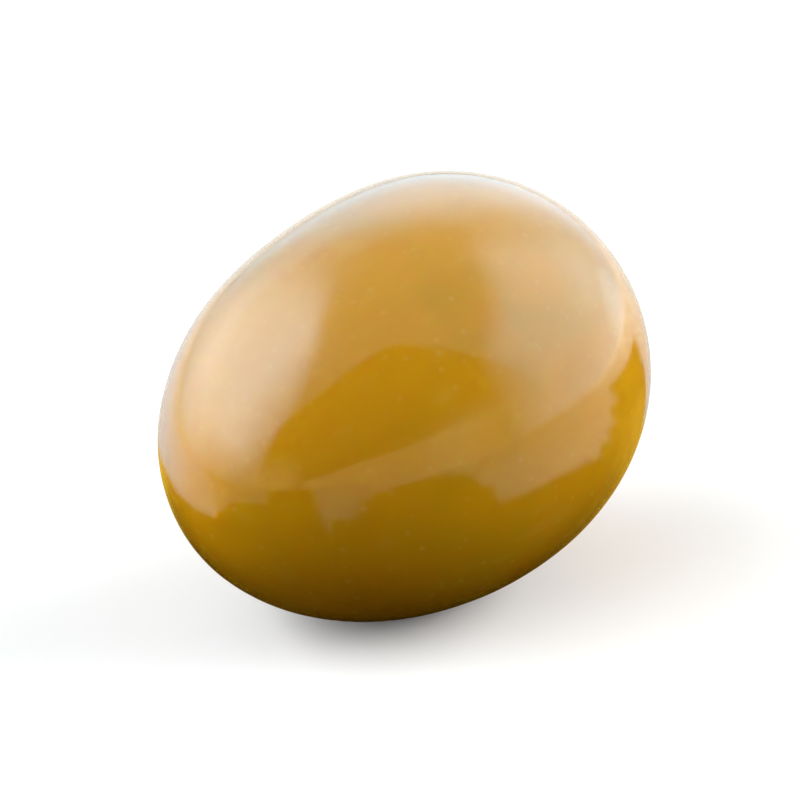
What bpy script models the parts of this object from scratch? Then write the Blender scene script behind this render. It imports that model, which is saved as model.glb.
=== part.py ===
"""A green table olive, whole and unpitted, lying on its side on a small flat spot.

The fruit is one solid. Its long axis runs along X: the tip looks to -X, and the fuller stem end, with the
round pit that the stalk left, looks to +X. +Z is up. The origin is under the middle of the fruit, level with
the spot that it rests on. Blender's units are metres.
"""

import math

import bmesh
import bpy
from mathutils import Matrix, Vector

MM = 0.001

# The finished fruit, from end to end, side to side, and from top to underside
LENGTH = 29.5 * MM
WIDTH = 22.0 * MM
HEIGHT = 21.2 * MM

# The form of the body
TAPER = 0.060  # how much fuller the stem half is than the tip half, as a share of the girth
SHOULDER = 0.028  # how much fuller both ends are than an ellipse's, as a share of the girth
BOW = 0.30 * MM  # how far both ends bend towards +Y
STEM_RISE = 0.45 * MM  # how far the stem end stands above the long axis

# The tip, where the flower was
NOSE_REACH = 0.35 * MM
NOSE_SHARPNESS = 8  # a higher power makes the nose narrower
NIB_HEIGHT = 0.12 * MM
NIB_RADIUS = 0.70 * MM

# The stem end: a wide dimple with furrows that run into it, a swollen lip, and the pit of the stalk
DIMPLE_DEPTH = 0.80 * MM
DIMPLE_RADIUS = 3.0 * MM
LIP_HEIGHT = 0.13 * MM
LIP_RADIUS = 1.60 * MM
LIP_WIDTH = 0.50 * MM
PIT_DEPTH = 0.95 * MM
PIT_RADIUS = 1.15 * MM
PIT_FLOOR_RADIUS = 0.60 * MM
FURROWS = 5
FURROW_DEPTH = 0.09 * MM
FURROW_RADIUS = 2.9 * MM
FURROW_WIDTH = 1.3 * MM

# Shallow flats where the soft flesh was pressed in the barrel, towards these directions from its middle
PRESSED_TOWARDS = (
    (-0.30, -0.80, 0.52),
    (0.45, -0.62, 0.64),
    (-0.15, 0.55, 0.82),
    (0.35, 0.93, -0.10),
    (-0.62, -0.30, -0.72),
)
PRESSED_DEPTH = 0.15 * MM
PRESSED_RADIUS = 5.0 * MM

# How it lies: the narrow end dips until the weight is over the spot that it rests on
DIP = math.radians(3.2)
FLAT_DEPTH = 0.35 * MM
SNAP = 0.04 * MM  # points this near the cut are moved onto it, so that no sliver is left

# The mesh
SEGMENTS = 72
RINGS = 60
END_CROWDING = 0.62  # how much closer the rings stand at the two ends, where the small forms are

SKIN_COLOUR = (0.42, 0.22, 0.012, 1.0)
SKIN_ROUGHNESS = 0.22


def clear_scene():
    for thing in list(bpy.data.objects):
        bpy.data.objects.remove(thing, do_unlink=True)


def bell(distance, width):
    """A smooth bump: 1 at its middle, fading over about its width."""
    return math.exp(-((distance / width) ** 2))


def rise(value, low, high):
    """Goes smoothly from 0 at low to 1 at high."""
    share = min(max((value - low) / (high - low), 0.0), 1.0)
    return share * share * (3.0 - 2.0 * share)


def tip_reach(radius, cosine):
    """How far the skin stands out along the axis, at a radius from the tip's middle."""
    nose = NOSE_REACH * max(-cosine, 0.0) ** NOSE_SHARPNESS
    nib = NIB_HEIGHT * bell(radius, NIB_RADIUS)
    return nose + nib


def stem_sink(radius, around):
    """How far the skin is drawn in along the axis, at a radius and an angle from the stem's middle."""
    dimple = DIMPLE_DEPTH * bell(radius, DIMPLE_RADIUS)
    lip = LIP_HEIGHT * bell(radius - LIP_RADIUS, LIP_WIDTH)
    pit = PIT_DEPTH * (1.0 - rise(radius, PIT_FLOOR_RADIUS, PIT_RADIUS))
    furrows = FURROW_DEPTH * math.cos(FURROWS * around) * bell(radius - FURROW_RADIUS, FURROW_WIDTH)
    return dimple - lip + pit + furrows


def pressed_in(outward):
    """How far the skin is pressed in, towards the middle."""
    spots = [Vector(towards).normalized() for towards in PRESSED_TOWARDS]
    distances = [(outward - spot).length * WIDTH / 2 for spot in spots]
    return PRESSED_DEPTH * sum(bell(distance, PRESSED_RADIUS) for distance in distances)


def skin_point(direction):
    """The place on the fruit of a point of the unit sphere, whose poles become the two ends."""
    even = math.acos(min(max(direction.z, -1.0), 1.0))
    polar = even - END_CROWDING / 2 * math.sin(2.0 * even)
    around = math.atan2(direction.y, direction.x)
    cosine, sine = math.cos(polar), math.sin(polar)
    outward = Vector((cosine, sine * math.cos(around), sine * math.sin(around)))

    girth = 1.0 + TAPER * cosine + SHOULDER * (2.0 * sine * cosine) ** 2
    egg = Vector((outward.x * LENGTH, outward.y * girth * WIDTH, outward.z * girth * HEIGHT)) / 2
    radius = math.hypot(egg.y, egg.z)
    along = stem_sink(radius, around) if cosine > 0.0 else tip_reach(radius, cosine)
    bend = Vector((-along, BOW * cosine**2, STEM_RISE * max(cosine, 0.0) ** 3))
    return egg + bend - outward * pressed_in(outward)


def size_and_middle(shape):
    """The size of the box round a shape, and the box's middle."""
    places = [vertex.co for vertex in shape.verts]
    low = Vector([min(place[axis] for place in places) for axis in range(3)])
    high = Vector([max(place[axis] for place in places) for axis in range(3)])
    return high - low, (low + high) / 2


def cut_flat_spot(shape, level):
    """Slices off what is below a level, and closes the cut with one flat face."""
    cut = bmesh.ops.bisect_plane(
        shape,
        geom=shape.verts[:] + shape.edges[:] + shape.faces[:],
        dist=SNAP,
        plane_co=(0.0, 0.0, level),
        plane_no=(0.0, 0.0, 1.0),
        use_snap_center=True,
        clear_inner=True,
    )
    rim = [part for part in cut["geom_cut"] if isinstance(part, bmesh.types.BMEdge)]
    bmesh.ops.holes_fill(shape, edges=rim)
    bmesh.ops.recalc_face_normals(shape, faces=shape.faces)


def fruit_shape():
    """The closed skin as it lies, with its flat spot on the ground and its exact size."""
    shape = bmesh.new()
    bmesh.ops.create_uvsphere(shape, u_segments=SEGMENTS, v_segments=RINGS, radius=1.0)
    for vertex in shape.verts:
        vertex.co = skin_point(vertex.co.copy())
    bmesh.ops.rotate(shape, verts=shape.verts, matrix=Matrix.Rotation(-DIP, 3, "Y"))

    size, middle = size_and_middle(shape)
    bmesh.ops.translate(shape, verts=shape.verts, vec=-middle)
    uncut_height = HEIGHT + FLAT_DEPTH
    stretch = Vector((LENGTH / size.x, WIDTH / size.y, uncut_height / size.z))
    bmesh.ops.scale(shape, verts=shape.verts, vec=stretch)
    bmesh.ops.translate(shape, verts=shape.verts, vec=(0.0, 0.0, HEIGHT - uncut_height / 2))
    cut_flat_spot(shape, 0.0)
    return shape


def skin_material():
    material = bpy.data.materials.new("olive_skin")
    material.use_nodes = True
    shader = material.node_tree.nodes["Principled BSDF"]
    shader.inputs["Base Color"].default_value = SKIN_COLOUR
    shader.inputs["Roughness"].default_value = SKIN_ROUGHNESS
    shader.inputs["Metallic"].default_value = 0.0
    return material


def build_olive(collection):
    shape = fruit_shape()
    mesh = bpy.data.meshes.new("olive")
    shape.to_mesh(mesh)
    shape.free()
    mesh.shade_smooth()
    mesh.materials.append(skin_material())
    olive = bpy.data.objects.new("olive", mesh)
    collection.objects.link(olive)
    return olive


def main():
    clear_scene()
    collection = bpy.data.collections.new("green_olive")
    bpy.context.scene.collection.children.link(collection)
    build_olive(collection)


main()
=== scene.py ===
# %% [markdown]
# # A green table olive
#
# One whole olive, cured in brine and still wet, lies on its side on a pale table. The photograph shows it
# lit by large soft lights, which its skin mirrors as pale patches over a deep golden olive green.
#
# The solid model of the fruit is the frame: it says where the fruit lies and how large it is. This script
# puts a finer skin in its place, gives it its finish, and sets up the light and the camera.

# %% Load the frame
import math

import bpy
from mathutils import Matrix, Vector


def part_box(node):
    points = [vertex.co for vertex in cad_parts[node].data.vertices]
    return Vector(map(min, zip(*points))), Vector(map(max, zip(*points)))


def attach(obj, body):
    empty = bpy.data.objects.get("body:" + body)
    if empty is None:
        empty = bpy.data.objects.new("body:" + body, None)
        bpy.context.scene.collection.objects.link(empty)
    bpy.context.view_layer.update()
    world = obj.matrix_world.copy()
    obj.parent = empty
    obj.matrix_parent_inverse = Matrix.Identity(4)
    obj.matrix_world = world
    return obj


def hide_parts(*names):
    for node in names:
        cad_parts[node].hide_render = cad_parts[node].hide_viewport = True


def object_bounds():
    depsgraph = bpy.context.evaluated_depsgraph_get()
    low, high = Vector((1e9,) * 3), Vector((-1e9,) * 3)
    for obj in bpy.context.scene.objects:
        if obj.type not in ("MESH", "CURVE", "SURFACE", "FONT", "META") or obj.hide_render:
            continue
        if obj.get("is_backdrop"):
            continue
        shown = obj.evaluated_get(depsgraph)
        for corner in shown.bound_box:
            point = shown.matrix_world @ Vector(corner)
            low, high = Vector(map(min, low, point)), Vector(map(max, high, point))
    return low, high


MM = 0.001

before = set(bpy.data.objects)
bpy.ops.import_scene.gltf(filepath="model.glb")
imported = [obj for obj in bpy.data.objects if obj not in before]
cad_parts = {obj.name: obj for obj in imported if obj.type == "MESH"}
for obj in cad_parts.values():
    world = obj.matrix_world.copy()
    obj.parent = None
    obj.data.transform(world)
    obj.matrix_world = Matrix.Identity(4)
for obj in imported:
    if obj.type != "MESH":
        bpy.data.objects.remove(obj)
frame_low, frame_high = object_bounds()
fruit_low, fruit_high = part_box("olive")
fruit_size = fruit_high - fruit_low
print("the fruit measures", [round(side / MM, 2) for side in fruit_size], "mm")

# %% [markdown]
# ## Nodes, and arithmetic with them
#
# The skin's shape and its finish are both made of nodes. `add` makes one node of any kind, with its
# settings and its links. It gives back a `Field`, which stands for the node's output: a value that
# differs from place to place. Arithmetic on fields adds Math nodes, so a rule of the shape reads like the
# formula that it is.


# %% Add a node
def add(tree, kind, inputs=(), output=0, **settings):
    node = tree.nodes.new(kind)
    for name, value in settings.items():
        setattr(node, name, value)
    for key, value in dict(inputs).items():
        if isinstance(value, Field):
            tree.links.new(value.socket, node.inputs[key])
        else:
            node.inputs[key].default_value = value
    return Field(node.outputs[output]) if node.outputs else node


class Field:
    """A node's output, with arithmetic."""

    def __init__(self, socket):
        self.socket = socket

    def math(self, operation, *others):
        inputs = enumerate((self, *others))
        return add(self.socket.id_data, "ShaderNodeMath", inputs, operation=operation)

    def __add__(self, other):
        return self.math("ADD", other)

    def __sub__(self, other):
        return self.math("SUBTRACT", other)

    def __rsub__(self, other):
        return self * -1.0 + other

    def __mul__(self, other):
        return self.math("MULTIPLY", other)

    def __truediv__(self, other):
        return self.math("DIVIDE", other)

    def __pow__(self, other):
        return self.math("POWER", other)

    __radd__ = __add__
    __rmul__ = __mul__

    def output(self, name):
        return Field(self.socket.node.outputs[name])


# %% [markdown]
# ## The form of an olive
#
# An olive is an egg: a stretched ball whose stem half is a little fuller than its tip half. The stalk
# leaves a dimple with a swollen lip and a pit in it, and the flower leaves a blunt nose with a nib. In
# the barrel the soft flesh was pressed a little flat in some places.
#
# A modelled egg could be sculpted, but each of these forms follows a short rule of the distance along the
# fruit and round it. So Geometry Nodes start from a ball and move each of its points by that rule. The
# values are the fruit's own sizes, and all of them are inputs of the tree.

# %% The fruit's own sizes
FORM = {
    "Taper": 0.060,
    "Shoulder": 0.028,
    "Bow": 0.30 * MM,
    "Stem rise": 0.45 * MM,
    "Nose reach": 0.35 * MM,
    "Nose sharpness": 8.0,
    "Nib height": 0.12 * MM,
    "Nib radius": 0.70 * MM,
    "Dimple depth": 0.80 * MM,
    "Dimple radius": 3.0 * MM,
    "Lip height": 0.13 * MM,
    "Lip radius": 1.60 * MM,
    "Lip width": 0.50 * MM,
    "Pit depth": 0.95 * MM,
    "Pit radius": 1.15 * MM,
    "Pit floor radius": 0.60 * MM,
    "Furrow depth": 0.09 * MM,
    "Furrow radius": 2.9 * MM,
    "Furrow width": 1.3 * MM,
    "Furrows": 5.0,
    "Pressed depth": 0.15 * MM,
    "Pressed radius": 5.0 * MM,
    "Dip": math.radians(3.2),
    "Flat depth": 0.35 * MM,
    "Flat softness": 0.25 * MM,
}
PRESSED_TOWARDS = (
    (-0.30, -0.80, 0.52),
    (0.45, -0.62, 0.64),
    (-0.15, 0.55, 0.82),
    (0.35, 0.93, -0.10),
    (-0.62, -0.30, -0.72),
)
print("the form has", len(FORM), "sizes and", len(PRESSED_TOWARDS), "pressed places")

# %% [markdown]
# The real skin isn't a perfect mirror. It swells and ripples very slightly over the flesh, and small
# uneven creases run into the stem's pit, where a woody stub and its crumbs are left. These forms are
# finer than the frame needs, so they are only here.

# %% The fine forms of the skin
RELIEF = {
    "Swell height": 0.075 * MM,
    "Swell width": 8.0 * MM,
    "Ripple height": 0.011 * MM,
    "Ripple width": 2.4 * MM,
    "Fine ripple height": 0.0035 * MM,
    "Fine ripple width": 1.0 * MM,
    "Crease depth": 0.020 * MM,
    "Creases": 11.0,
    "Crease radius": 1.9 * MM,
    "Crease width": 0.7 * MM,
    "Crease wander": 3.6,
    "Stub height": 0.26 * MM,
    "Stub radius": 0.26 * MM,
    "Crumb height": 0.060 * MM,
    "Crumb width": 0.26 * MM,
    "Crumb radius": 0.95 * MM,
}
MESH = {"Segments": 352, "Rings": 268, "End crowding": 0.62}
SEED = 7.0
print("the finest ripples are", round(RELIEF["Fine ripple width"] / MM, 2), "mm wide")


# %% [markdown]
# Two small rules come back again and again: a bell is 1 at its middle and fades away with distance, and a
# rise goes smoothly from 0 to 1 between two values.


# %% Bell and rise
def bell(distance, width):
    share = distance / width
    return (share * share * -1.0).math("EXPONENT")


def rise(value, low, high):
    share = ((value - low) / (high - low)).math("MAXIMUM", 0.0).math("MINIMUM", 1.0)
    return share * share * (3.0 - 2.0 * share)


def uneven(tree, place, width, detail=1.0):
    """Soft noise from -1 to 1, with bumps about this wide."""
    inputs = {"Vector": place, "Scale": width**-1.0, "Detail": detail, "W": SEED}
    noise = add(tree, "ShaderNodeTexNoise", inputs, output="Fac", noise_dimensions="4D")
    return noise * 2.0 - 1.0


# %% [markdown]
# The ball's poles become the two ends of the fruit. Its rings are drawn together towards both ends,
# because the small forms are there.


# %% Where a point of the ball goes
def ball_direction(tree, given):
    """A ball point's polar cosine and sine, its angle round the long axis, and its direction."""
    place = add(tree, "GeometryNodeInputPosition")
    parts = add(tree, "ShaderNodeSeparateXYZ", {0: place})
    even = parts.output("Z").math("ARCCOSINE")
    polar = even - given["End crowding"] / 2.0 * (even * 2.0).math("SINE")
    around = parts.output("Y").math("ARCTAN2", parts.output("X"))
    cosine, sine = polar.math("COSINE"), polar.math("SINE")
    side, up = sine * around.math("COSINE"), sine * around.math("SINE")
    return cosine, sine, around, side, up


# %% [markdown]
# At the stem end the skin is drawn in by a sum of rules of the distance from the stem's middle: the
# dimple is a bell, the lip a ring round the pit, and the pit a rise with a flat floor. Furrows and
# creases are waves round the axis. The creases wander and come and go, as in skin that shrank a little
# when the stalk dried. The stub and its crumbs stand up from the pit's floor.

# %% The stem end
CREASE_WANDER_WIDTH = 1.6 * MM
CREASE_PATCH_WIDTH = 2.8 * MM
print("creases are up to", round(1.5 * RELIEF["Crease depth"] / MM, 3), "mm deep")


def stem_sink(tree, given, radius, around, place):
    """How far the skin is drawn in along the axis at the stem end."""
    dimple = given["Dimple depth"] * bell(radius, given["Dimple radius"])
    lip = given["Lip height"] * bell(radius - given["Lip radius"], given["Lip width"])
    pit = given["Pit depth"] * (1.0 - rise(radius, given["Pit floor radius"], given["Pit radius"]))
    furrow_waves = (around * given["Furrows"]).math("COSINE")
    furrow_ring = bell(radius - given["Furrow radius"], given["Furrow width"])
    furrows = given["Furrow depth"] * furrow_waves * furrow_ring
    wander = given["Crease wander"] * uneven(tree, place, CREASE_WANDER_WIDTH)
    crease_waves = (around * given["Creases"] + wander).math("COSINE")
    crease_ring = bell(radius - given["Crease radius"], given["Crease width"])
    crease_share = 0.5 + uneven(tree, place, CREASE_PATCH_WIDTH)
    creases = given["Crease depth"] * crease_waves * crease_ring * crease_share
    stub = given["Stub height"] * bell(radius, given["Stub radius"])
    crumb_ring = bell(radius, given["Crumb radius"])
    crumbs = given["Crumb height"] * uneven(tree, place, given["Crumb width"]) * crumb_ring * crumb_ring
    return dimple - lip + pit + furrows + creases - stub - crumbs


# %% [markdown]
# At the tip the skin stands out in a blunt nose, with the small nib of the flower on it. The pressed
# places are shallow bells round five directions. The relief is soft noise of three sizes, one on the
# other: without it the reflections would be those of a glass egg.


# %% The tip, the pressed places and the relief
def tip_reach(given, radius, cosine):
    """How far the skin stands out along the axis at the tip."""
    towards_tip = (cosine * -1.0).math("MAXIMUM", 0.0)
    nose = given["Nose reach"] * towards_tip ** given["Nose sharpness"]
    return nose + given["Nib height"] * bell(radius, given["Nib radius"])


def pressed_in(tree, given, outward):
    """How far the skin is pressed in, towards the middle."""
    depth = 0.0
    for towards in PRESSED_TOWARDS:
        spot = Vector(towards).normalized()
        away = add(tree, "ShaderNodeVectorMath", {0: outward, 1: spot}, "Value", operation="DISTANCE")
        depth = bell(away * given["Width"] / 2.0, given["Pressed radius"]) + depth
    return given["Pressed depth"] * depth


def skin_relief(tree, given, place):
    """The swells and ripples of the skin, from the widest to the finest."""
    height = 0.0
    for wave in ("Swell", "Ripple", "Fine ripple"):
        height = given[wave + " height"] * uneven(tree, place, given[wave + " width"]) + height
    return height


# %% [markdown]
# The tree puts the rules together in the order of the real fruit: the egg, its two ends, the pressed
# places and the relief. It then tips the fruit as it lies. What the finish needs to know later, how far
# each point is from the stem and from the tip, is noted in the mesh as two attributes.


# %% Grow the fruit
def grown_skin(tree, given, ball):
    """Moves the ball's points to the skin, and notes how far each is from the stem and the tip."""
    cosine, sine, around, side, up = ball_direction(tree, given)
    fullness = sine * cosine * 2.0
    girth = cosine * given["Taper"] + 1.0 + given["Shoulder"] * fullness * fullness
    outward = add(tree, "ShaderNodeCombineXYZ", {"X": cosine, "Y": side, "Z": up})
    egg_y = side * girth * given["Width"] / 2.0
    egg_z = up * girth * given["Height"] / 2.0
    radius = (egg_y * egg_y + egg_z * egg_z).math("SQRT")
    egg_x = cosine * given["Length"] / 2.0
    place = add(tree, "ShaderNodeCombineXYZ", {"X": egg_x, "Y": egg_y, "Z": egg_z})

    at_stem = cosine.math("GREATER_THAN", 0.0)
    sink = stem_sink(tree, given, radius, around, place) * at_stem
    reach = tip_reach(given, radius, cosine) * (1.0 - at_stem)
    towards_stem = cosine.math("MAXIMUM", 0.0)
    inward = pressed_in(tree, given, outward) - skin_relief(tree, given, place)
    skin_x = egg_x - sink - reach - cosine * inward
    skin_y = egg_y + given["Bow"] * cosine * cosine - side * inward
    skin_z = egg_z + given["Stem rise"] * towards_stem ** 3.0 - up * inward

    dip_sine, dip_cosine = given["Dip"].math("SINE"), given["Dip"].math("COSINE")
    lying = {
        "X": skin_x * dip_cosine - skin_z * dip_sine,
        "Y": skin_y,
        "Z": skin_x * dip_sine + skin_z * dip_cosine,
    }
    from_stem = radius + (1.0 - at_stem) * given["Length"]
    from_tip = radius + at_stem * given["Length"]
    noted = ball
    for name, distance in (("from_stem", from_stem), ("from_tip", from_tip)):
        inputs = {"Geometry": noted, "Name": name, "Value": distance}
        noted = add(tree, "GeometryNodeStoreNamedAttribute", inputs, domain="POINT", data_type="FLOAT")
    moved = {"Geometry": noted, "Position": add(tree, "ShaderNodeCombineXYZ", lying)}
    return add(tree, "GeometryNodeSetPosition", moved)


# %% [markdown]
# The grown skin is measured and fitted to the frame's box. What would then be under the table is brought
# up to it, which makes the flat spot. A cut would do that too, but it would leave a sharp edge that soft
# flesh doesn't have, so the last quarter of a millimetre bends over softly.


# %% Settle it on the table
def settled_skin(tree, given, skin):
    """Fits the skin to its box and rests it on its flat spot, whose edge is soft."""
    box = add(tree, "GeometryNodeBoundBox", {"Geometry": skin}, "Min")
    low = add(tree, "ShaderNodeSeparateXYZ", {0: box})
    high = add(tree, "ShaderNodeSeparateXYZ", {0: box.output("Max")})
    place = add(tree, "ShaderNodeSeparateXYZ", {0: add(tree, "GeometryNodeInputPosition")})
    shares = {}
    for axis in "XYZ":
        extent = high.output(axis) - low.output(axis)
        shares[axis] = (place.output(axis) - low.output(axis)) / extent
    uncut_height = given["Height"] + given["Flat depth"]
    level = shares["Z"] * uncut_height - given["Flat depth"]
    softness = given["Flat softness"]
    near = level.math("MAXIMUM", 0.0).math("MINIMUM", softness)
    softened = near * near * (softness * 2.0 - near) / (softness * softness)
    fitted = {
        "X": (shares["X"] - 0.5) * given["Length"],
        "Y": (shares["Y"] - 0.5) * given["Width"],
        "Z": softened + level.math("MAXIMUM", softness) - softness,
    }
    inputs = {"Geometry": skin, "Position": add(tree, "ShaderNodeCombineXYZ", fitted)}
    return add(tree, "GeometryNodeSetPosition", inputs)


# %% [markdown]
# The tree's inputs are declared from the lists above, so that each size has its name and its value in the
# modifier as well. The last nodes shade the skin smooth, realize it as plain mesh and give it its
# material.


# %% Build the tree
def olive_tree(sizes):
    tree = bpy.data.node_groups.new("olive form", "GeometryNodeTree")
    interface = tree.interface
    interface.new_socket("Geometry", in_out="OUTPUT", socket_type="NodeSocketGeometry")
    for name, value in sizes.items():
        kind = "NodeSocketInt" if isinstance(value, int) else "NodeSocketFloat"
        interface.new_socket(name, in_out="INPUT", socket_type=kind)
    interface.new_socket("Material", in_out="INPUT", socket_type="NodeSocketMaterial")
    group_input = tree.nodes.new("NodeGroupInput")
    given = {socket.name: Field(socket) for socket in group_input.outputs if socket.name}

    rounds = {"Segments": given["Segments"], "Rings": given["Rings"], "Radius": 1.0}
    ball = add(tree, "GeometryNodeMeshUVSphere", rounds, "Mesh")
    skin = settled_skin(tree, given, grown_skin(tree, given, ball))
    smooth = add(tree, "GeometryNodeSetShadeSmooth", {"Geometry": skin})
    real = add(tree, "GeometryNodeRealizeInstances", {"Geometry": smooth})
    dressed = add(tree, "GeometryNodeSetMaterial", {"Geometry": real, "Material": given["Material"]})
    add(tree, "NodeGroupOutput", {"Geometry": dressed})
    return tree


# %% [markdown]
# ## The skin's finish
#
# The skin is a thin waxy cuticle over soft flesh that has lain in brine. Light goes into the flesh and
# comes out again a few millimetres away, which gives the olive its inner glow, and the film of brine on
# top is a clear, smooth coat that mirrors the lights. The colour is a deep golden green, uneven as grown:
# greener and browner clouds, streaks that run from end to end, pale pores, a few brown freckles, and a
# woody brown where the stalk was.
#
# Colours are given as on a screen, in hex, and one function turns them to the linear values that light is
# counted in.


# %% Screen colours to linear ones
def linear(screen_hex):
    channels = [int(screen_hex[i : i + 2], 16) / 255 for i in (1, 3, 5)]
    return (*[c / 12.92 if c <= 0.04045 else ((c + 0.055) / 1.055) ** 2.4 for c in channels], 1.0)


OLIVE_GOLD = linear("#B88609")
OLIVE_GREEN = linear("#A78009")
AMBER = linear("#B67B06")
# Painted shade: the brown that darkens the skin towards the bottom
PAINTED_SHADE_BROWN = linear("#8A5809")
PALE_PORE = linear("#D2AE58")
FRECKLE = linear("#6E4512")
STEM_BROWN = linear("#6E4A1A")
PIT_BROWN = linear("#33200C")
WOOD = linear("#8C6B3E")
print("olive gold is", [round(channel, 3) for channel in OLIVE_GOLD[:3]], "in linear light")

# %% [markdown]
# Clouds and streaks are soft noise, and streaks are the same noise on coordinates that are squeezed along
# the fruit. Pores and freckles come from a Voronoi texture, whose cells have a point each: what is near
# enough to a point is inside a pore. The stem and the tip are found by the distances that the tree noted
# in the mesh.

# %% Sizes of the skin's marks
CLOUD_WIDTH = 6.0 * MM
SMALL_CLOUD_WIDTH = 2.2 * MM
# How far up the skin the painted shade of the underside reaches
PAINTED_SHADE_FADE = 11.0 * MM
STREAK_WIDTH = 0.9 * MM
STREAK_STRETCH = 0.18
PORE_SPACING = 1.00 * MM
PORE_RADIUS = 0.26 * MM
PORE_PATCH_WIDTH = 3.0 * MM
FRECKLE_SPACING = 5.0 * MM
FRECKLE_RADIUS = 0.22 * MM
COLOUR_A, COLOUR_B, COLOUR_OUT = 6, 7, 2  # the colour sockets of a Mix node
print("pores are", PORE_SPACING / MM, "mm apart, and streaks are", STREAK_WIDTH / MM, "mm wide")


# %% Mixed colours and dots
def mixed(tree, share, low, high):
    inputs = {0: share, COLOUR_A: low, COLOUR_B: high}
    return add(tree, "ShaderNodeMix", inputs, COLOUR_OUT, data_type="RGBA")


def dots(tree, place, spacing, radius):
    """1 inside soft round dots of this radius, 0 between them."""
    inputs = {"Vector": place, "Scale": 1.0 / spacing}
    distance = add(tree, "ShaderNodeTexVoronoi", inputs, "Distance") * spacing
    return 1.0 - rise(distance, 0.0, radius)


# %% [markdown]
# The colour is laid on in layers, as a painter would: the flesh's gold, a painted shade that browns the
# underside, clouds, streaks, pores and freckles, and last the browns of the stem and the tip. Each layer
# is a tint and a share, and the share says where the tint shows and how strongly.

# %% Layers of colour
GREEN_CLOUDS = (-0.25, 0.50, 0.90)  # the noise at which they start and are full, and their strength then
AMBER_CLOUDS = (0.00, 0.70, 0.55)
PALE_STREAKS = (0.10, 0.80, 0.12)
# How strongly the painted shade browns the underside
PAINTED_SHADE_STRENGTH = 0.50
PORE_STRENGTH = 0.18
FRECKLE_STRENGTH = 0.45
# Colour, radius and strength, from the outermost to the innermost
STEM_STAINS = ((STEM_BROWN, 1.70 * MM, 0.60), (PIT_BROWN, 0.98 * MM, 0.85), (WOOD, 0.34 * MM, 0.70))
TIP_STAIN_RADIUS, TIP_STAIN_STRENGTH = 0.42 * MM, 0.50


def showing(noise, start, full, strength):
    return rise(noise, start, full) * strength


def skin_colour(tree, place):
    """The olive's colour, from the flesh's gold and a painted shade on its underside to the skin's marks.
    """
    squeezed = add(tree, "ShaderNodeMapping", {"Vector": place, "Scale": (STREAK_STRETCH, 1.0, 1.0)})
    clouds = uneven(tree, place, CLOUD_WIDTH, detail=2.0)
    small_clouds = uneven(tree, place, SMALL_CLOUD_WIDTH, detail=2.0)
    streaks = uneven(tree, squeezed, STREAK_WIDTH)
    from_stem = add(tree, "ShaderNodeAttribute", output="Fac", attribute_name="from_stem")
    from_tip = add(tree, "ShaderNodeAttribute", output="Fac", attribute_name="from_tip")
    pore_share = PORE_STRENGTH + uneven(tree, place, PORE_PATCH_WIDTH) * PORE_STRENGTH
    height = add(tree, "ShaderNodeSeparateXYZ", {0: place}).output("Z")
    layers = [
        # Painted shade: the skin is browner towards the bottom, standing in for shade on the underside
        (PAINTED_SHADE_BROWN, (1.0 - rise(height, 0.0, PAINTED_SHADE_FADE)) * PAINTED_SHADE_STRENGTH),
        (OLIVE_GREEN, showing(clouds, *GREEN_CLOUDS)),
        (AMBER, showing(small_clouds, *AMBER_CLOUDS)),
        (PALE_PORE, showing(streaks, *PALE_STREAKS)),
        (PALE_PORE, dots(tree, place, PORE_SPACING, PORE_RADIUS) * pore_share),
        (FRECKLE, dots(tree, place, FRECKLE_SPACING, FRECKLE_RADIUS) * FRECKLE_STRENGTH),
        *[(stain, bell(from_stem, radius) * strength) for stain, radius, strength in STEM_STAINS],
        (AMBER, bell(from_tip, TIP_STAIN_RADIUS) * TIP_STAIN_STRENGTH),
    ]
    colour = OLIVE_GOLD
    for tint, share in layers:
        colour = mixed(tree, share, colour, tint)
    return colour


# %% [markdown]
# Brined olive skin: it grew as a waxy cuticle, was softened in brine and is wet. One Principled shader
# holds all of that. The flesh is its subsurface part, and red light goes deepest into it. The cuticle is
# a little rough, so its own gloss is soft, and it is rougher still on the dry wood of the stem. The film
# of brine is the coat: it is nearly smooth, and it mirrors sharply. A faint grain and shallow pores only
# bend the light, as they are too fine for the mesh.

# %% Brined olive skin
BRINE_IOR = 1.48
CUTICLE_IOR = 1.48
GLOW_DEPTH = 2.4 * MM
GLOW_COLOURS = (1.0, 0.55, 0.12)
CUTICLE_ROUGHNESS, ROUGHNESS_SPREAD = 0.13, 0.02
STEM_ROUGHNESS, STEM_ROUGH_RADIUS = 0.30, 1.0 * MM
FILM_ROUGHNESS = 0.03
GRAIN_WIDTH, GRAIN_HEIGHT = 0.45 * MM, 0.003 * MM
PORE_DEPTH = 0.002 * MM


def brined_olive_skin():
    material = bpy.data.materials.new("brined olive skin")
    material.use_nodes = True
    tree = material.node_tree
    shader = tree.nodes["Principled BSDF"]
    place = add(tree, "ShaderNodeTexCoord", output="Object")
    grain = uneven(tree, place, GRAIN_WIDTH, detail=2.0)
    pores = dots(tree, place, PORE_SPACING, PORE_RADIUS)
    height = grain * GRAIN_HEIGHT - pores * PORE_DEPTH
    bump = add(tree, "ShaderNodeBump", {"Height": height, "Distance": 1.0, "Strength": 1.0})
    from_stem = add(tree, "ShaderNodeAttribute", output="Fac", attribute_name="from_stem")
    at_stem = bell(from_stem, STEM_ROUGH_RADIUS) * STEM_ROUGHNESS
    roughness = grain * ROUGHNESS_SPREAD + CUTICLE_ROUGHNESS + at_stem
    fields = {"Base Color": skin_colour(tree, place), "Roughness": roughness, "Normal": bump}
    for name, field in fields.items():
        tree.links.new(field.socket, shader.inputs[name])
    settings = {
        "IOR": CUTICLE_IOR,
        "Subsurface Weight": 1.0,
        "Subsurface Radius": GLOW_COLOURS,
        "Subsurface Scale": GLOW_DEPTH,
        "Coat Weight": 1.0,
        "Coat Roughness": FILM_ROUGHNESS,
        "Coat IOR": BRINE_IOR,
    }
    for name, value in settings.items():
        shader.inputs[name].default_value = value
    print(material.name, "has", len(tree.nodes), "nodes")
    return material


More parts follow.
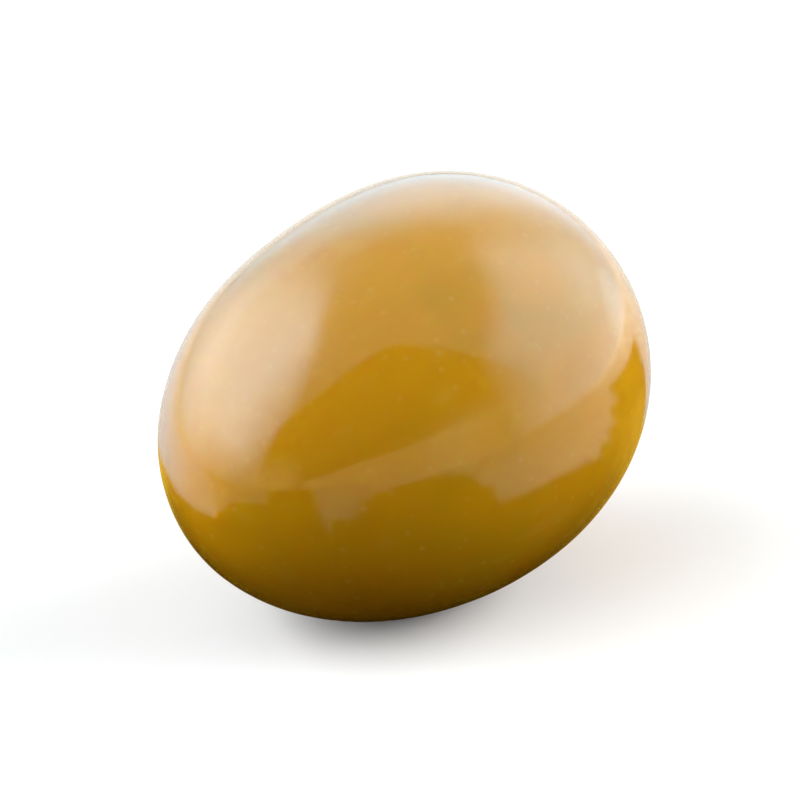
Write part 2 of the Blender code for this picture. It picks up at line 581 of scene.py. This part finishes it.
# %% [markdown]
# ## Make the fruit
#
# The object starts empty. Its modifier grows the skin, and the result is kept as a plain mesh, in which
# nothing is left to compute.


# %% Grow the skin and keep it as a mesh
def grow_fruit():
    size = dict(zip(("Length", "Width", "Height"), fruit_size))
    sizes = {**size, **FORM, **RELIEF, **MESH}
    tree = olive_tree(sizes)
    print("the tree", tree.name, "has", len(tree.nodes), "nodes")
    material = brined_olive_skin()
    sprout = bpy.data.objects.new("sprout", bpy.data.meshes.new("sprout"))
    sprout.data.materials.append(material)
    bpy.context.scene.collection.objects.link(sprout)
    modifier = sprout.modifiers.new("olive form", "NODES")
    modifier.node_group = tree
    for item in tree.interface.items_tree:
        if item.in_out == "INPUT":
            modifier[item.identifier] = material if item.name == "Material" else sizes[item.name]
    grown = sprout.evaluated_get(bpy.context.evaluated_depsgraph_get())
    mesh = bpy.data.meshes.new_from_object(grown)
    mesh.name = "olive_fruit"
    bpy.data.objects.remove(sprout)
    mesh.materials.clear()
    mesh.materials.append(material)
    fruit = bpy.data.objects.new("olive_fruit", mesh)
    bpy.context.scene.collection.objects.link(fruit)
    return fruit


fruit = grow_fruit()
mesh_triangles = sum(len(face.vertices) - 2 for face in fruit.data.polygons)
print("the skin has", mesh_triangles, "triangles and is", fruit.data.materials[0].name)

# %% [markdown]
# The fruit rides on the frame's one body and stands for its solid.

# %% Tie it to the frame
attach(fruit, "root")
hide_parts("olive")

# %% [markdown]
# ## The camera
#
# The camera looks down at the fruit's tip from the side, as in the photograph. A long lens keeps the
# perspective flat.

# %% Place the camera
CAMERA_AZIMUTH = math.radians(-53.9)
CAMERA_ELEVATION = math.radians(24.0)
LENS = 200.0
FRAME_WIDTH = 41.0 * MM  # how much of the fruit's surroundings the picture takes in
SENSOR_WIDTH = 36.0

fruit_middle = (fruit_low + fruit_high) / 2


def direction(turn, elevation):
    """Towards a turn round the fruit, from the camera to the picture's right, and an elevation."""
    angle = CAMERA_AZIMUTH + turn
    flat = math.cos(elevation)
    return Vector((math.sin(angle) * flat, -math.cos(angle) * flat, math.sin(elevation)))


def place_camera():
    camera = bpy.data.objects.new("camera", bpy.data.cameras.new("camera"))
    camera.data.lens = LENS
    camera.data.sensor_width = SENSOR_WIDTH
    distance = FRAME_WIDTH * LENS / SENSOR_WIDTH
    towards = direction(0.0, CAMERA_ELEVATION)
    camera.location = fruit_middle + towards * distance
    camera.rotation_euler = towards.to_track_quat("Z", "Y").to_euler()
    camera.data.clip_start = 0.01
    bpy.context.scene.collection.objects.link(camera)
    bpy.context.scene.camera = camera
    return camera


camera = place_camera()
print("the camera stands", round(camera.location.length, 3), "m from the table's middle")

# %% [markdown]
# ## The table
#
# A plain, pale, matt laminate, wide enough to reach past the picture from any side. The camera sees it
# white.
#
# In the photograph the fruit's lower half mirrors surroundings that aren't white. They are grey in front,
# cooler to the left and paler behind, and those near by are dark in front and golden close behind the
# fruit. A ray from the skin's reflection is a glossy ray, a ray that gathers soft light is a diffuse one,
# and the Light Path node tells both from the camera's. So the table shows the camera its white and the
# reflection these tones, and it sends a dim, warm light back up to the fruit.

# %% The table's size and tones
PI = math.pi
TABLE_WIDTH = 1.0
TABLE_WHITE = linear("#F4F3F1")
TABLE_ROUGHNESS = 0.9

# The soft light that comes back up to the fruit. A reach is a distance from its middle to the front
FRONT_BOUNCE, BACK_BOUNCE = linear("#4C3A22"), linear("#B48F56")
BOUNCE_FRONT_REACH, BOUNCE_BACK_REACH = 5 * MM, -25 * MM

# What the skin mirrors of the open table. The left tone's distances are to the right, so they are negative
FRONT_TONE, SIDE_TONE, BACK_TONE = linear("#8C8578"), linear("#B8AFA4"), linear("#CFCCC6")
FRONT_REACH, SIDE_REACH, BACK_REACH = 60 * MM, -10 * MM, -110 * MM
LEFT_TONE = linear("#B8C4D8")
LEFT_FAR, LEFT_NEAR = -45 * MM, -12 * MM

# What it mirrors of the near surroundings. The gold starts in front and fades again away from the fruit
NEAR_TONE, GOLD_TONE = linear("#523B06"), linear("#BC942C")
GOLD_FROM, GOLD_FULL = 2 * MM, -14 * MM
GOLD_INNER, GOLD_OUTER, GOLD_LOSS = 22 * MM, 45 * MM, 0.7
# From one turn to another, in degrees, how far they reach from the fruit's middle, in mm
NEAR_REACHES = (
    (-200, 200, 26),
    (-62, -26, 62),
    (-32, -4, 600),
    (-8, 9, 34),
    (2, 59, 42),
    (6, 56, 66),
    (11, 54, 100),
    (22, 49, 160),
    (94, 135, 31),
    (99, 135, 38),
    (102, 135, 55),
    (106, 135, 100),
)
NEAR_SIDE_EDGE = 4.0  # degrees
NEAR_FAR_EDGE = 0.2  # of the reach
NEAR_WAVE_WIDTH, NEAR_WAVE_HEIGHT = 14 * MM, 3 * MM
print("the table is", TABLE_WIDTH, "m wide, with", len(NEAR_REACHES), "near stretches")

# %% [markdown]
# A place on the table is known by how far ahead of the fruit it is, towards the camera, and how far
# aside. The near surroundings are sectors of a circle, each with its own radius, and the largest radius
# wins. A little noise keeps their rim from being drawn with compasses.


# %% What the skin mirrors of the table
def along(tree, place, turn):
    """How far a place on the table is from the fruit's middle in the direction of a turn."""
    inputs = {0: place, 1: direction(turn, 0.0)}
    return add(tree, "ShaderNodeVectorMath", inputs, "Value", operation="DOT_PRODUCT")


def open_tone(tree, ahead, aside):
    """The tone of the open table."""
    side_tone = mixed(tree, rise(aside, LEFT_FAR, LEFT_NEAR), LEFT_TONE, SIDE_TONE)
    tone = mixed(tree, rise(ahead, SIDE_REACH, FRONT_REACH), side_tone, FRONT_TONE)
    return mixed(tree, rise(ahead, BACK_REACH, SIDE_REACH), BACK_TONE, tone)


def nearness(ahead, aside, away):
    """1 in the near surroundings, 0 beyond them."""
    turn = aside.math("ARCTAN2", ahead) * (180.0 / PI)
    inner, outer = 1.0 - NEAR_FAR_EDGE / 2, 1.0 + NEAR_FAR_EDGE / 2
    near = 0.0
    for first, last, reach in NEAR_REACHES:
        within = rise(turn, first, first + NEAR_SIDE_EDGE) * rise(last - turn, 0.0, NEAR_SIDE_EDGE)
        share = within * (1.0 - rise(away / (reach * MM), inner, outer))
        near = share.math("MAXIMUM", near)
    return near


def mirrored_tone(tree, place, ahead, aside):
    """What the skin mirrors of the table."""
    waves = uneven(tree, place, NEAR_WAVE_WIDTH) * NEAR_WAVE_HEIGHT
    away = (ahead * ahead + aside * aside).math("SQRT") + waves
    behind = 1.0 - rise(ahead, GOLD_FULL, GOLD_FROM)
    gold = behind * (1.0 - rise(away, GOLD_INNER, GOLD_OUTER) * GOLD_LOSS)
    near_tone = mixed(tree, gold, NEAR_TONE, GOLD_TONE)
    return mixed(tree, nearness(ahead, aside, away), open_tone(tree, ahead, aside), near_tone)


# %% Lay the table
def white_laminate():
    material = bpy.data.materials.new("white matt laminate")
    material.use_nodes = True
    tree = material.node_tree
    shader = tree.nodes["Principled BSDF"]
    place = add(tree, "ShaderNodeTexCoord", output="Object")
    ray = add(tree, "ShaderNodeLightPath", output="Is Camera Ray")
    ahead, aside = along(tree, place, 0.0), along(tree, place, PI / 2)
    bounce = mixed(tree, rise(ahead, BOUNCE_BACK_REACH, BOUNCE_FRONT_REACH), BACK_BOUNCE, FRONT_BOUNCE)
    mirrored = mirrored_tone(tree, place, ahead, aside)
    sent_back = mixed(tree, ray.output("Is Glossy Ray"), bounce, mirrored)
    shown = mixed(tree, ray, sent_back, TABLE_WHITE)
    tree.links.new(shown.socket, shader.inputs["Base Color"])
    shader.inputs["Roughness"].default_value = TABLE_ROUGHNESS
    shader.inputs["Specular IOR Level"].default_value = 0.0
    print(material.name, "has", len(tree.nodes), "nodes")
    return material


def lay_table():
    bpy.ops.mesh.primitive_plane_add(size=TABLE_WIDTH)
    table = bpy.context.object
    table.name = "table_top"
    table.data.materials.append(white_laminate())
    table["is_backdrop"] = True
    return table


table = lay_table()

# %% [markdown]
# ## The light
#
# The wet skin mirrors everything round it, so the panels are there as much to be seen in it as to light
# it: a tall one on the left, with a bright curtain that gives its pale patch a crisp edge, one on the
# right, a ceiling overhead and a white wall behind. In front it is dark but for low cards. That leaves
# the deep patch of colour in the middle of the skin, with pale bands under it. Two small fills, which the
# skin doesn't show, give most of the light.
#
# An upright panel is given by the turns at which its edges are seen from the fruit, because that is where
# the skin shows them. A photographer sets apart how a panel lights a thing and how it shows in it, with
# flags and filters. Here each panel has two brightnesses for that. The panels look cool and the front
# cards warm, as their patches do in the photograph.

# %% The upright panels
COOL, WHITE, WARM = linear("#CFEBFF"), linear("#FFFFFF"), linear("#FFE2A8")
# Name, turn that it faces from, distance, turns of its two edges, heights of its foot and top, how wide it
# fades at its left, right, foot and top, its brightness in the skin and on it, and its colour
UPRIGHT_PANELS = (
    ("left_panel", -95, 0.45, (-160, -33), (-0.16, 1.80), (1.05, 0.87, 0.44, 1.00), (3.20, 1.00), COOL),
    ("left_curtain", -60, 0.50, (-110, -36), (0.10, 1.00), (0.50, 0.04, 0.12, 0.30), (0.40, 0.0), COOL),
    ("right_panel", 135, 0.50, (71, 160), (-0.08, 0.80), (0.62, 0.30, 0.06, 0.30), (1.45, 0.6), COOL),
    ("white_wall", 175, 0.90, (142, 230), (-0.02, 1.25), (0.42, 1.40, 0.02, 1.10), (1.60, 0.0), COOL),
    ("low_card", -125, 0.50, (-150, -80), (-0.10, 0.340), (0.25, 0.40, 0.06, 0.24), (0.80, 0.0), COOL),
    ("front_card", 65, 0.28, (-14, 82), (-0.012, 0.107), (0.45, 0.20, 0.01, 0.010), (0.66, 0.0), WARM),
    ("corner_card", -30, 0.50, (-50, -9), (-0.02, 0.220), (0.12, 0.16, 0.02, 0.16), (0.75, 0.0), WARM),
    ("right_card", 70, 0.50, (34, 98), (-0.04, 0.270), (0.25, 0.30, 0.02, 0.12), (0.52, 0.0), WARM),
    ("side_card", 135, 0.50, (90, 160), (-0.04, 0.340), (0.50, 0.20, 0.02, 0.24), (0.72, 0.0), COOL),
    ("left_fill", -72, 0.50, (-122, -21), (0.05, 0.70), (0.10, 0.10, 0.10, 0.10), (0.0, 4.45), WHITE),
    ("right_fill", 104, 0.50, (66, 141), (0.02, 0.42), (0.06, 0.06, 0.08, 0.06), (0.0, 8.8), WHITE),
)
print("there are", len(UPRIGHT_PANELS), "upright panels")

# %% [markdown]
# The ceiling hangs level. In front it ends along a bent line, which runs straight across on the right and
# slants forward to the left. The skin shows that line as the upper edge of the deep patch. A second,
# smaller panel under it makes its left side brighter.

# %% The ceiling
CUT_PANEL = "ceiling"
CEILING_FRONT = 0.60
# Name, height, distance to its front edge, depth behind it, where it ends left and right, how wide it
# fades at its left, right, front and back, its two brightnesses and its colour
CEILING_PANELS = (
    (CUT_PANEL, 0.50, CEILING_FRONT, 2.40, (-2.40, 2.40), (1.60, 1.60, 0.03, 1.20), (0.45, 0.10), COOL),
    ("ceiling_left", 0.49, 0.30, 0.90, (-0.90, 0.00), (0.16, 0.18, 0.20, 0.16), (0.27, 0.0), COOL),
)
SLANT_TURN, SLANT_REACH = math.radians(33.2), 0.217
STRAIGHT_REACH = 0.163
CUT_EDGE = 0.03
print("the ceiling hangs", CEILING_PANELS[0][1], "m over the table")

# %% [markdown]
# A panel fades out towards its edges, as the cloth of a soft box does. A lamp's Parametric output tells
# where on the panel a ray meets it, from 0 to 1 each way, so its strength can be a rule of the place too.


# %% How a panel fades
def front_cut(lamp, spot):
    """Ends the ceiling in front along its bent line."""
    right = (spot.output("X") - 0.5) * lamp.size
    ahead = CEILING_FRONT - spot.output("Y") * lamp.size_y
    slanted = SLANT_REACH - right * math.sin(SLANT_TURN) - ahead * math.cos(SLANT_TURN)
    straight = STRAIGHT_REACH - ahead
    return rise(slanted.math("MAXIMUM", straight), 0.0, CUT_EDGE)


def fade_edges(lamp, fades, cut):
    lamp.use_nodes = True
    tree = lamp.node_tree
    spot = add(tree, "ShaderNodeSeparateXYZ", {0: add(tree, "ShaderNodeNewGeometry", output="Parametric")})
    strength = 1.0
    for axis, side, (start, end) in (("X", lamp.size, fades[:2]), ("Y", lamp.size_y, fades[2:])):
        across = spot.output(axis) * side
        strength = rise(across, 0.0, start) * rise(side - across, 0.0, end) * strength
    if cut:
        strength = front_cut(lamp, spot) * strength
    tree.links.new(strength.socket, tree.nodes["Emission"].inputs["Strength"])


# %% [markdown]
# Each brightness of a panel becomes a lamp: one only shows in the skin, and the other only lights. The
# second hangs close behind the first, because a ray meets only one of two lamps that hang in one place. A
# lamp's watts are its surface's brightness times its area times pi.

# %% Hang a panel
LAMP_GAP = 0.005


def hang_panel(name, place, away, turned, size, fades, brightness, colour):
    width, height = size
    for step, (purpose, level) in enumerate(zip(("mirrored", "lighting"), brightness)):
        if level == 0.0:
            continue
        lamp = bpy.data.lights.new(name + " " + purpose, "AREA")
        lamp.shape = "RECTANGLE"
        lamp.size, lamp.size_y = width, height
        lamp.energy = level * width * height * PI
        lamp.color = colour[:3]
        fade_edges(lamp, fades, cut=name == CUT_PANEL)
        panel = bpy.data.objects.new(lamp.name, lamp)
        panel.location = place + away * LAMP_GAP * step
        panel.rotation_euler = turned
        panel.visible_camera = False
        panel.visible_glossy = purpose == "mirrored"
        panel.visible_diffuse = purpose == "lighting"
        bpy.context.scene.collection.objects.link(panel)


# %% Stand the upright panels and hang the ceiling
def stand_panel(name, turn, distance, edges, heights, fades, brightness, colour):
    ahead = direction(math.radians(turn), 0.0)
    aside = Vector((-ahead.y, ahead.x, 0.0))
    left, right = [distance * math.tan(math.radians(edge - turn)) for edge in edges]
    foot, top = heights
    place = ahead * distance + aside * (left + right) / 2 + Vector((0.0, 0.0, (foot + top) / 2))
    turned = ahead.to_track_quat("Z", "Y").to_euler()
    hang_panel(name, place, ahead, turned, (right - left, top - foot), fades, brightness, colour)


def hang_ceiling(name, height, reach, depth, ends, fades, brightness, colour):
    ahead = direction(0.0, 0.0)
    aside = Vector((-ahead.y, ahead.x, 0.0))
    left, right = ends
    place = ahead * (reach - depth / 2) + aside * (left + right) / 2 + Vector((0.0, 0.0, height))
    upward = Vector((0.0, 0.0, 1.0))
    turned = (0.0, 0.0, CAMERA_AZIMUTH)
    hang_panel(name, place, upward, turned, (right - left, depth), fades, brightness, colour)


for upright in UPRIGHT_PANELS:
    stand_panel(*upright)
for overhead in CEILING_PANELS:
    hang_ceiling(*overhead)

# %% [markdown]
# The room itself is white to the camera. The skin mirrors it as almost dark, and gets a little even light
# from it from all round, which lifts the shaded side.

# %% Light the room
ROOM_MIRRORED = 0.03
ROOM_GLOW = 0.20


def light_room():
    world = bpy.data.worlds.new("room")
    bpy.context.scene.world = world
    world.use_nodes = True
    tree = world.node_tree
    background = tree.nodes["Background"]
    ray = add(tree, "ShaderNodeLightPath", output="Is Camera Ray")
    unseen = ray.output("Is Glossy Ray") * (ROOM_MIRRORED - ROOM_GLOW) + ROOM_GLOW
    brightness = ray * (1.0 - unseen) + unseen
    background.inputs["Color"].default_value = (1.0, 1.0, 1.0, 1.0)
    tree.links.new(brightness.socket, background.inputs["Strength"])


light_room()
bpy.context.scene.view_settings.view_transform = "Standard"
print("the skin mirrors the room at", ROOM_MIRRORED, "and is lit by it at", ROOM_GLOW)

# %% [markdown]
# ## Measure
#
# The dressed fruit has to fill the frame's box and no more. Both boxes are printed.

# %% Print the sizes
skin_low, skin_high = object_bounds()
boxes = {"frame": [list(frame_low), list(frame_high)], "visual": [list(skin_low), list(skin_high)]}
for name, box in boxes.items():
    print(name, "box in mm:", [[round(value / MM, 3) for value in corner] for corner in box])
